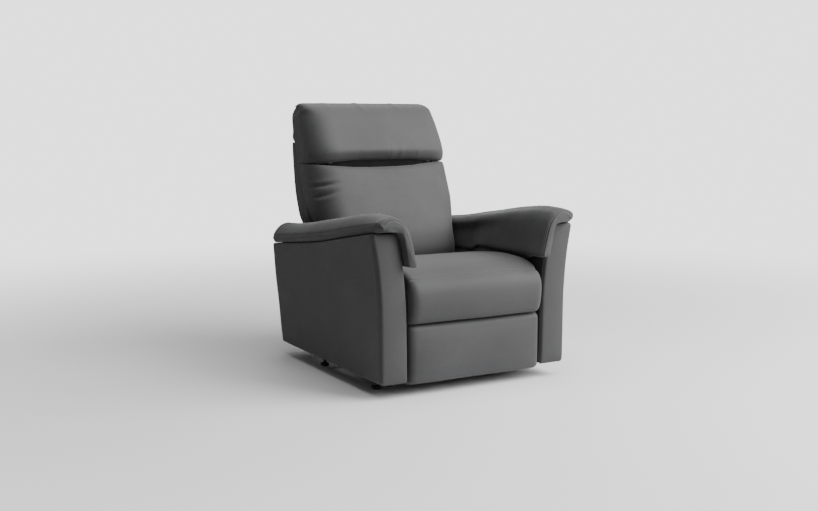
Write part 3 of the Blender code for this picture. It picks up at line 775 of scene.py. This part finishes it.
def arm_pad(tag, side):
    """The thick stitched pad over the arm: boxing outside, a rolled top, and a flap down the inner side."""
    ys = stations(PAD_FRONT, ARM_REAR, 76, (PAD_FRONT, ARM_REAR), 0.012)
    extra = [PAD_FRONT + d for d in PAD_FRONT_STEPS] + [ARM_REAR - d for d in PAD_REAR_STEPS]
    ys = sorted(set(ys) | {round(e, 5) for e in extra})
    rings = []
    for y in ys:
        outside, wall = pad_section(clamp(y, PAD_FRONT + 0.012, ARM_REAR))
        line = [Vector(p) for p in spline(outside, PAD_STEPS) + [Vector(p) for p in wall]]
        n = len(line)
        ring = []
        for i, p in enumerate(line):
            outside_end = ease((24 - i) / 16)
            back = corner(y - PAD_FRONT, mix(0.0150, 0.042, outside_end))
            back += corner(ARM_REAR - y, mix(0.022, 0.034, outside_end))
            a = line[i - 1]
            b = line[(i + 1) % n]
            t = Vector((b.x - a.x, b.y - a.y)).normalized()
            flat = 1 - ease((i - 4) / 14) if i < n - 5 else 0.0
            inset = Vector((-t.y, t.x)) * p.z
            inset = Vector((-1.0, 0.0)) * flat + inset * (1 - flat)
            ring.append(Vector((p.x, p.y)) + inset * back)
        rings.append([(side * q.x, y, q.y) for q in ring])
    verts = [p for r in rings for p in r]
    n = len(rings[0])
    faces = []
    for k in range(len(rings) - 1):
        for i in range(n):
            j = (i + 1) % n
            faces.append((k * n + i, k * n + j, (k + 1) * n + j, (k + 1) * n + i))
    faces.append(tuple(range(n)))
    faces.append(tuple((len(rings) - 1) * n + i for i in range(n)))
    obj = new_object("arm_cushion_" + tag, verts, faces)
    bm = bmesh.new()
    bm.from_mesh(obj.data)
    bmesh.ops.triangulate(bm, faces=[f for f in bm.faces if len(f.verts) > 4], ngon_method="EAR_CLIP")
    bmesh.ops.recalc_face_normals(bm, faces=bm.faces[:])
    bm.to_mesh(obj.data)
    bm.free()
    seam_at = PAD_EDGE + 1
    co = coords(obj)
    nor = normals(obj)
    for k, y in enumerate(ys):
        for i in range(n):
            g = k * n + i
            p = co[g]
            fade = ease((y - PAD_FRONT - 0.010) / 0.01)
            groove = 0.0016 * bump(i, seam_at, 0.75) * fade
            if PAD_EDGE <= i <= PAD_FLAP:
                groove += 0.0034 * bump(y - PAD_FRONT, 0.003, 0.0012)
            gather = 0.0008 * wobble((p[0] * 2, p[1] * 10, p[2] * 3), 5.0, 6.0) * (1 if i < PAD_FLAP else 0)
            co[g] = p - nor[g] * groove + nor[g] * gather
    set_coords(obj, co)
    shade(obj, 60)
    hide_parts("arm_pad_" + tag)
    dress(obj, "leather_pad", "base")
    line = [Vector(co[k * n + seam_at]) for k, y in enumerate(ys) if y > PAD_FRONT + 0.012]
    for index, aside in enumerate((-0.0035, 0.0035)):
        stitches = stitch_line("arm_cushion_stitch_%s%d" % (tag, index), line, obj, aside)
        dress(stitches, "leather_pad", "base", THREAD)
    front_k = min(range(len(ys)), key=lambda k: abs(ys[k] - PAD_FRONT - 0.013))
    front = [Vector(co[front_k * n + i]) for i in range(PAD_EDGE, PAD_FLAP)]
    welt = tube("arm_cushion_welt_" + tag, resample(smooth_line(front, 2), 0.005), 0.0017, 8)
    dress(welt, "leather_pad", "base")
    for index, aside in enumerate((0.006, 0.010)):
        shifted = [Vector((p.x, p.y + aside, p.z)) for p in front]
        stitches = stitch_line("arm_cushion_front_stitch_%s%d" % (tag, index), shifted, obj, 0.0)
        dress(stitches, "leather_pad", "base", THREAD)
    return obj


# ---------------------------------------------------------------- seat

SEAT_HALF = 0.2825
SEAT_LINE = [(-0.441, 0.2565), (-0.458, 0.2560), (-0.472, 0.265), (-0.4825, 0.292), (-0.4880, 0.330),
             (-0.4845, 0.370), (-0.470, 0.398), (-0.449, 0.4140), (-0.418, 0.4310), (-0.370, 0.4440),
             (-0.300, 0.4510), (-0.220, 0.4515), (-0.100, 0.4420), (0.0, 0.4280), (0.060, 0.4190),
             (0.0790, 0.4080), (0.0795, 0.385)]
SEAT_SEAM = 7


def seat_cushion():
    """The seat: a broad crowned top that rolls over the nose, with a sewn cross seam and boxed sides."""
    line = spline(SEAT_LINE, 6)
    lengths = run_lengths(line)
    total = lengths[-1]
    seam = lengths[SEAT_SEAM * 6] / total

    def top(u, v):
        p = point_at(line, lengths, v)
        x = u * SEAT_HALF
        edge = SEAT_HALF - abs(x)
        fall = corner(edge, 0.019)
        nose = corner(edge, 0.032)
        crown = 0.005 * (1 - u * u)
        up = clamp((p.y - 0.33) / 0.06)
        face = 1 - clamp((p.x + 0.46) / 0.05)
        y = p.x + (nose * 0.75 * face + fall * 0.10) * (1 - clamp((p.x + 0.30) / 0.3)) - crown * face
        z = p.y - fall * up + crown * up * 0.5
        tuck = corner(p.y - 0.257, 0.010) * face
        return (x * (1 - 0.010 * face * (1 - up)) - (0.3 * tuck if x > 0 else -0.3 * tuck), y, z)

    def under(u, v):
        p = point_at(line, lengths, v)
        x = u * SEAT_HALF * 0.985
        if p.y < 0.335 and p.x < -0.43:
            return (x, -0.4395, max(p.y, 0.262))
        return (x, clamp(p.x, -0.4395, 0.076), 0.3375)

    us = stations(-1.0, 1.0, 64, (-1.0, 1.0), 0.03)
    vs = stations(0.0, 1.0, 92, (seam,), 0.006)
    obj, sheet = pillow("seat_upholstery", us, vs, top, under, 0.0, 8)
    js = min(range(len(vs)), key=lambda j: abs(vs[j] - seam))
    pins = rim_pins(obj, sheet)
    for column in sheet:
        pins[column[js]] = 1.0
        for j in (js - 1, js + 1):
            pins.setdefault(column[j], 0.6)
    inflate(obj, pins, pressure=3.0, frames=12, cap=0.007, grow=0.012)
    co = coords(obj)
    nor = normals(obj)
    for i, u in enumerate(us):
        for j, v in enumerate(vs):
            g = sheet[i][j]
            d = (v - seam) * total
            groove = 0.0034 * bump(d, 0, 0.0042) + 0.0010 * bump(d, 0, 0.018)
            fine = 0.0010 * wobble(co[g], 7.0, 1.0) + 0.0022 * wobble((co[g][0] * 0.6, co[g][1], 0), 3.0, 9.0)
            co[g] += nor[g] * (fine * ease((1 - abs(u)) / 0.1) - groove)
    set_coords(obj, co)
    cross = [Vector(co[sheet[i][js]]) for i in range(3, len(us) - 3)]
    subdivide(obj, 1)
    shade(obj)
    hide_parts("seat_cushion")
    dress(obj, "leather_seat", "seat")
    for index, aside in enumerate((-0.0045, 0.0045)):
        stitches = stitch_line("seat_stitch_%d" % index, cross, obj, aside)
        dress(stitches, "leather_seat", "seat", THREAD)
    return obj


# ---------------------------------------------------------------- back

BACK_SLOPE = 0.4136
BACK_REF = (0.303, 0.547)
BACK_HALF = [(0.24, 0.282), (0.50, 0.284), (0.58, 0.299), (0.65, 0.3075), (0.80, 0.3075), (0.95, 0.3015),
             (1.03, 0.294)]
SHELL_HALF = [(0.24, 0.282), (0.50, 0.284), (0.58, 0.300), (0.80, 0.296), (1.03, 0.281)]
BACK_LINE = [(0.395, 0.099), (0.430, 0.096), (0.490, 0.110), (0.564, 0.141), (0.620, 0.163), (0.668, 0.182),
             (0.720, 0.2035), (0.750, 0.2155), (0.768, 0.2230), (0.7765, 0.2280), (0.7820, 0.2345),
             (0.7845, 0.2450)]


def puff(d, width, depth, power):
    """How far a broad padded edge stands back at a distance from its seam."""
    t = clamp(d / width)
    return depth * (1 - (1 - (1 - t) ** power) ** (1 / power))


def side_roll(x, half, left_depth, right_depth):
    """The roll of a back cushion's side: long and soft on the left, tighter on the right."""
    if x < 0:
        return puff(half + x, 0.105, left_depth, 2.1)
    return puff(half - x, 0.085, right_depth, 2.6)


def back_plane(z):
    return BACK_REF[0] + BACK_SLOPE * (z - BACK_REF[1])


# Each pleat on the left side: its height at the edge, its rise, its depth and its reach
PLEATS = [(0.694, 0.24, 0.0070, 0.115), (0.650, 0.42, 0.0066, 0.105)]


def back_cushion():
    """The lower back: full in the middle, rolled at the sides, tucked in under the headrest."""

    def half(z):
        return along(BACK_HALF, z)

    def face(u, v):
        z = mix(0.396, 0.7845, v)
        h = half(z)
        x = u * h
        roll = side_roll(x, h, mix(0.085, 0.112, ease((z - 0.45) / 0.2)), 0.055)
        swell = 0.020 * (1 - u * u) * sin(pi * clamp(v * 0.90 + 0.04)) ** 0.7
        lens = max(0.0, 1 - ((u + 0.06) / 0.93) ** 2)
        dip = 0.0150 * lens * ease((v - 0.80) / 0.2)
        y = along(BACK_LINE, z) - swell + roll
        return (x, y, z - dip)

    def rear(u, v):
        z = mix(0.394, 0.7845, v)
        h = half(z)
        x = u * h * 0.995
        z = min(z, mix(0.764, 0.7845, ease((abs(x) - 0.145) / 0.03)))
        return (x, back_plane(z) - 0.0012, z)

    us = stations(-1.0, 1.0, 64, (-1.0, 1.0), 0.03)
    vs = stations(0.0, 1.0, 66, (1.0,), 0.008)
    obj, sheet = pillow("back_upholstery", us, vs, face, rear, 0.0, 12)
    inflate(obj, rim_pins(obj, sheet), pressure=3.0, frames=12, cap=0.008, grow=0.015)
    co = coords(obj)
    nor = normals(obj)
    for i, u in enumerate(us):
        for j, v in enumerate(vs):
            g = sheet[i][j]
            p = co[g]
            move = 0.0018 * wobble((p[0], 0, p[2]), 4.0, 21.0)
            move += 0.0007 * wobble((p[0] * 2, 0, p[2]), 11.0, 5.0)
            d = p[0] + half(p[2])
            for z0, rise, depth, reach in PLEATS:
                line = z0 + rise * d
                fade = ease(d / 0.012) * ease((reach - d) / (reach * 0.7))
                move -= depth * bump(p[2], line, 0.0050) * fade
                lips = bump(p[2], line + 0.013, 0.009) + bump(p[2], line - 0.013, 0.009)
                move += depth * 0.50 * lips * fade
            co[g] = p + nor[g] * move * ease((1 - abs(u)) / 0.02)
    set_coords(obj, co)
    edge_lines = [[Vector(co[sheet[i][j]]) for j in range(2, len(vs) - 2)] for i in (1, len(us) - 2)]
    subdivide(obj, 1)
    shade(obj)
    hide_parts("back_cushion")
    dress(obj, "leather_seat", "back")
    for index, line in enumerate(edge_lines):
        stitches = stitch_line("back_stitch_%d" % index, line, obj, 0.0)
        dress(stitches, "leather_seat", "back", THREAD)
    return obj


HEAD_FRONT = [(0.7940, 0.262), (0.7960, 0.2450), (0.8040, 0.2320), (0.822, 0.2280), (0.845, 0.2350),
              (0.880, 0.2500), (0.920, 0.2710), (0.957, 0.2930), (0.992, 0.3160), (1.012, 0.3380),
              (1.024, 0.3700), (1.0275, 0.4050)]
# The headrest's gathers over the crease and folds at its top: place across, width and depth
GATHERS = ((0.035, 0.0055, 0.0042), (0.052, 0.0045, 0.0034), (0.082, 0.007, 0.0028), (0.018, 0.005, 0.0016),
           (0.165, 0.006, 0.0016))
TOP_FOLDS = ((-0.045, 0.012, 0.0035), (0.125, 0.010, 0.0024), (-0.19, 0.012, 0.0016))


def headrest():
    """The headrest: a padded roll whose lower edge tucks in over the crease, thin at the sides."""

    def half(z):
        return along(BACK_HALF, z)

    front = spline([(z, y) for z, y in HEAD_FRONT], 6)
    lengths = run_lengths(front)

    def face(u, v):
        p = point_at(front, lengths, v)
        z, y = p.x, p.y
        h = half(z)
        x = u * h
        roll = side_roll(x, h, 0.100, 0.058)
        swell = 0.016 * (1 - u * u) * ease((z - 0.797) / 0.05) * ease((1.03 - z) / 0.06)
        upper = ease((z - 0.975) / 0.045)
        shut = (1 - ease((z - 0.794) / 0.030)) * clamp((abs(u) - 0.35) / 0.5)
        tight = corner(h - abs(x), 0.020)
        y = y - swell + mix(roll, roll * 0.5, upper)
        z = z - tight * 0.8 * upper - 0.0080 * shut
        return (x * (1 - 0.006 * upper), y, z)

    rear_line = spline([(0.7940, 0.398), (0.800, 0.4045), (0.830, 0.4160), (0.866, 0.4310), (0.878, 0.4470),
                        (0.895, 0.4580), (0.929, 0.4680), (0.960, 0.4770), (0.985, 0.4790), (1.003, 0.4700),
                        (1.019, 0.4480), (1.0265, 0.4200)], 6)

    def rear(u, v):
        at = v * (len(rear_line) - 1)
        k = min(int(at), len(rear_line) - 2)
        p = rear_line[k].lerp(rear_line[k + 1], at - k)
        z, y = p.x, p.y
        h = half(z)
        x = u * h * 0.996
        roll = corner(h - abs(x), 0.022)
        upper = ease((z - 0.95) / 0.06)
        outside = ease((z - 0.885) / 0.03)
        rim = ease((abs(x) - 0.240) / 0.012) * (1 - ease((z - 0.794) / 0.02))
        return (x, y - roll * 0.8 * outside, z - roll * 0.8 * upper - 0.0078 * rim)

    us = stations(-1.0, 1.0, 64, (-1.0, 1.0), 0.03)
    vs = stations(0.0, 1.0, 64, (0.0,), 0.008)
    obj, sheet = pillow("headrest_upholstery", us, vs, face, rear, 0.0, 12)
    inflate(obj, rim_pins(obj, sheet, rows=(0, 1, -1)), pressure=3.0, frames=12, cap=0.007, grow=0.015)
    co = coords(obj)
    nor = normals(obj)
    for i, u in enumerate(us):
        for j, v in enumerate(vs):
            g = sheet[i][j]
            p = co[g]
            move = 0.0014 * wobble((p[0], 0, p[2]), 4.0, 33.0)
            move += 0.0006 * wobble((p[0] * 2, 0, p[2]), 11.0, 8.0)
            low = ease((0.875 - p[2]) / 0.05) * ease((p[2] - 0.796) / 0.02)
            for cx, w, d in GATHERS:
                move -= d * bump(p[0], cx + 0.02 * (p[2] - 0.80), w) * low
            high = ease((p[2] - 0.985) / 0.03)
            for cx, w, d in TOP_FOLDS:
                move -= d * bump(p[0], cx, w) * high
            co[g] = p + nor[g] * move * ease((1 - abs(u)) / 0.02)
    set_coords(obj, co)
    edge_lines = [[Vector(co[sheet[i][j]]) for j in range(6, len(vs) - 3)] for i in (1, len(us) - 2)]
    subdivide(obj, 1)
    shade(obj)
    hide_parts("headrest_cushion")
    dress(obj, "leather_head", "headrest")
    for index, line in enumerate(edge_lines):
        stitches = stitch_line("headrest_stitch_%d" % index, line, obj, 0.0)
        dress(stitches, "leather_head", "headrest", THREAD)
    return obj


def crease_shade_strip():
    """A strip that closes the crease under the headrest, in front of the hinge, coloured near black as
    painted shade for the crease.
    """
    path = [(-0.290, 0.385), (-0.291, 0.350), (-0.284, 0.315), (-0.262, 0.285), (-0.225, 0.2590)]
    path += [(-0.17, 0.2500)]
    path += [(0.0, 0.2495)] + [(-x, y) for x, y in reversed(path)]
    line = spline(path, 8)
    verts = []
    faces = []
    levels = (0.0, 0.25, 0.5, 0.75, 1.0)
    for i, p in enumerate(line):
        a, b = line[max(i - 1, 0)], line[min(i + 1, len(line) - 1)]
        t = (b - a).normalized()
        inward = Vector((-t.y, t.x))
        for depth in (0.0, 0.0022):
            for f in levels if not depth else reversed(levels):
                z = mix(0.7700, 0.7985, f)
                q = p + inward * (depth + 0.0015 * sin(pi * f))
                verts.append((q.x, q.y, z))
    ring = 2 * len(levels)
    for i in range(len(line) - 1):
        for k in range(ring):
            m = (k + 1) % ring
            faces.append((i * ring + k, i * ring + m, (i + 1) * ring + m, (i + 1) * ring + k))
    faces.append(tuple(range(ring)))
    faces.append(tuple((len(line) - 1) * ring + k for k in range(ring)))
    obj = new_object("crease_shade_sheet", verts, faces)
    face_out(obj)
    shade(obj, 50)
    # Painted shade: the strip's near-black colour stands in for the shade in the crease.
    obj.data.materials.append(CREASE_SHADE)
    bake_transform(obj)
    return obj


SHELL_REAR = [(0.257, 0.313), (0.35, 0.326), (0.45, 0.362), (0.538, 0.400), (0.673, 0.456), (0.756, 0.474),
              (0.868, 0.494)]
POCKET_HALF = 0.2745
POCKET_TOP = 0.853


def back_shell():
    """The outer back: a leather-covered tray behind the cushions, with a welt round its front edge."""
    low, high = 0.257, 0.868

    def half(z):
        return along(SHELL_HALF, z) + 0.0008

    def inner(u, v):
        z = mix(low, high, v)
        x = u * half(z)
        y = back_plane(z) + 0.0012
        inset = corner(high - z, 0.006)
        if abs(x) < POCKET_HALF and z < POCKET_TOP:
            y += 0.0325
        return (x, y + inset, z)

    def outer(u, v):
        z = mix(low, high, v)
        h = half(z)
        x = u * h
        roll = corner(h - abs(x), 0.030)
        y = along(SHELL_REAR, z) - roll * 0.85 - corner(high - z, 0.018) * 0.7 - corner(z - low, 0.012)
        y += 0.0012 * wobble((x, 0, z), 4.0, 40.0)
        return (x, max(y, back_plane(z) + 0.012), z)

    us = stations(-1.0, 1.0, 90, (-1.0, 1.0), 0.03)
    vs = stations(0.0, 1.0, 80, (0.0, 1.0), 0.02)
    obj, _ = pillow("outer_back", us, vs, inner, outer, 0.0, 6)
    shade(obj, 55)
    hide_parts("back_shell")
    dress(obj, "leather_back", "back")
    for tag, side in SIDES:
        rim = []
        for k in range(60):
            z = mix(0.40, 0.866, k / 59)
            rim.append(Vector((side * (half(z) - 0.001), along(SHELL_REAR, z) - 0.020, z)))
        welt = tube("outer_back_welt_" + tag, resample(rim, 0.006), 0.0024, 8)
        dress(welt, "leather_back", "back")
    return obj


# ---------------------------------------------------------------- footrest


def footrest():
    """The footrest panel: a firm pad with soft rolled edges."""
    low, high = 0.040, 0.2515
    half = 0.2795

    def face(u, v):
        z = mix(low, high, v)
        x = u * half
        edge_x = half - abs(x)
        edge_z = min(z - low, high - z)
        turn = corner(edge_z, 0.018)
        x = x * (1 - turn / half * 0.5)
        roll = corner(edge_x, 0.024) * 0.9 + turn * 0.95
        crown = 0.009 * (1 - u ** 4) * sin(pi * clamp(v)) ** 0.7
        return (x, -0.4635 - crown + roll, z)

    def rear(u, v):
        return (u * half, -0.4380, mix(low + 0.001, high - 0.001, v))

    us = stations(-1.0, 1.0, 64, (-1.0, 1.0), 0.03)
    vs = stations(0.0, 1.0, 40, (0.0, 1.0), 0.03)
    obj, sheet = pillow("footrest_upholstery", us, vs, face, rear, 0.0, 6)
    inflate(obj, rim_pins(obj, sheet), pressure=2.5, frames=10, cap=0.004, grow=0.010)
    co = coords(obj)
    nor = normals(obj)
    for i, u in enumerate(us):
        for j, v in enumerate(vs):
            g = sheet[i][j]
            co[g] += nor[g] * (0.0010 * wobble((co[g][0], 0, co[g][2]), 5.0, 51.0))
    set_coords(obj, co)
    subdivide(obj, 1)
    shade(obj)
    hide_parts("footrest_pad")
    dress(obj, "leather_foot", "footrest")
    return obj


# ---------------------------------------------------------------- rear panel


def rear_panel():
    """The board low at the rear, wrapped in hide with soft edges."""
    (x0, y0, z0), (x1, y1, z1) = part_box("rear_board")

    def sheet(y, sign):
        def place(u, v):
            x, z = mix(x0, x1, u), mix(z0, z1, v)
            edge = min(x - x0, x1 - x, z - z0, z1 - z)
            crown = 0.0010 * sin(pi * v) + 0.0004 * wobble((x, y, z), 6.0, 60.0)
            return (x, y - sign * (corner(edge, 0.0055) * 0.9 - crown), z)
        return place

    us = stations(0.0, 1.0, 60, (0.0, 1.0), 0.012)
    vs = stations(0.0, 1.0, 20, (0.0, 1.0), 0.030)
    obj, _ = pillow("rear_panel", us, vs, sheet(y1 - 0.0012, 1), sheet(y0 + 0.0012, -1), 0.0, 4)
    shade(obj, 60)
    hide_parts("rear_board")
    return dress(obj, "leather_arm", "base")


# ---------------------------------------------------------------- stage


FLOOR_RADIUS = 7.4
# Distances from the chair between which the floor runs into the backdrop
FLOOR_FADE = (0.75, 4.6)
# Strength of the backdrop where the camera sees it, and where it only lights the chair
BACKDROP = 2.40
DIM = 0.23
# Each light: name, place, what it points at, size and power
LIGHTS = (
    ("key", (2.75, -2.85, 2.8), (0, 0, 0.5), (4.0, 3.8), 620),
    ("overhead", (0.1, -0.5, 3.3), (0, 0, 0.4), (3.0, 3.0), 120),
    ("rim", (1.4, 3.2, 2.6), (0, 0, 0.6), (2.0, 1.6), 20),
)
EYE = (-2.092, -3.586, 0.961)
GAZE = (0.4973, 0.8582, -0.1268)
LENS = 46.85


def area(name, at, towards, size, power):
    """A rectangular soft light that points at a place."""
    data = bpy.data.lights.new(name, "AREA")
    data.energy = power
    data.shape = "RECTANGLE"
    data.size, data.size_y = size
    obj = bpy.data.objects.new(name, data)
    obj.location = at
    obj.rotation_euler = (Vector(towards) - Vector(at)).to_track_quat("-Z", "Y").to_euler()
    bpy.context.scene.collection.objects.link(obj)


def stage():
    """A pale floor that runs into a pale backdrop, soft lights from the front right, and the camera."""
    count = 96
    turns = [2 * pi * k / count for k in range(count)]
    rim = [(FLOOR_RADIUS * cos(w), FLOOR_RADIUS * sin(w), 0) for w in turns]
    floor = new_object("floor", rim, [tuple(range(count))])
    mat, tree, shader, link = new_material("floor_paint")
    place = node(tree, "ShaderNodeTexCoord", -1000, 0)
    cloud = node(tree, "ShaderNodeTexNoise", -700, 0, {"Scale": 0.35})
    link(place.outputs["Object"], cloud.inputs["Vector"])
    tone = ramp(tree, [(0.3, (0.61, 0.61, 0.61)), (0.7, (0.64, 0.64, 0.64))], -500, 0)
    link(cloud.outputs["Fac"], tone.inputs["Fac"])
    link(tone.outputs["Color"], shader.inputs["Base Color"])
    shader.inputs["Roughness"].default_value = 0.55
    socket(shader, "Specular IOR Level", 0.15)
    far = node(tree, "ShaderNodeVectorMath", -700, -300, operation="LENGTH")
    link(place.outputs["Object"], far.inputs[0])
    fade = node(
        tree, "ShaderNodeMapRange", -500, -300,
        {"From Min": FLOOR_FADE[0], "From Max": FLOOR_FADE[1]}, interpolation_type="SMOOTHSTEP",
    )
    link(far.outputs["Value"], fade.inputs["Value"])
    glow = node(tree, "ShaderNodeEmission", -200, -300, {"Color": (0.98, 0.98, 1.0, 1)})
    seen = node(tree, "ShaderNodeLightPath", -700, -500)
    shown = node(tree, "ShaderNodeMapRange", -450, -500, {"To Min": DIM, "To Max": BACKDROP})
    link(seen.outputs["Is Camera Ray"], shown.inputs["Value"])
    link(shown.outputs["Result"], glow.inputs["Strength"])
    both = node(tree, "ShaderNodeMixShader", 200, 0)
    link(fade.outputs["Result"], both.inputs["Fac"])
    link(shader.outputs["BSDF"], both.inputs[1])
    link(glow.outputs["Emission"], both.inputs[2])
    link(both.outputs["Shader"], tree.nodes["Material Output"].inputs["Surface"])
    floor.data.materials.append(mat)
    world = bpy.data.worlds.new("studio")
    bpy.context.scene.world = world
    world.use_nodes = True
    tree = world.node_tree
    back = tree.nodes["Background"]
    back.inputs["Color"].default_value = (0.98, 0.98, 1.0, 1)
    path = tree.nodes.new("ShaderNodeLightPath")
    level = tree.nodes.new("ShaderNodeMapRange")
    level.inputs["To Min"].default_value = DIM
    level.inputs["To Max"].default_value = BACKDROP
    tree.links.new(path.outputs["Is Camera Ray"], level.inputs["Value"])
    tree.links.new(level.outputs["Result"], back.inputs["Strength"])
    for light in LIGHTS:
        area(*light)
    camera = bpy.data.cameras.new("camera")
    camera.sensor_width = 36
    camera.lens = LENS
    eye = bpy.data.objects.new("camera", camera)
    eye.location = EYE
    eye.rotation_euler = Vector(GAZE).to_track_quat("-Z", "Y").to_euler()
    bpy.context.scene.collection.objects.link(eye)
    bpy.context.scene.camera = eye


dress_cad()
for TAG, SIDE in SIDES:
    arm_side(TAG, SIDE)
    arm_front(TAG, SIDE)
    arm_pad(TAG, SIDE)
seat_cushion()
back_cushion()
headrest()
crease_shade_strip()
back_shell()
footrest()
rear_panel()
stage()
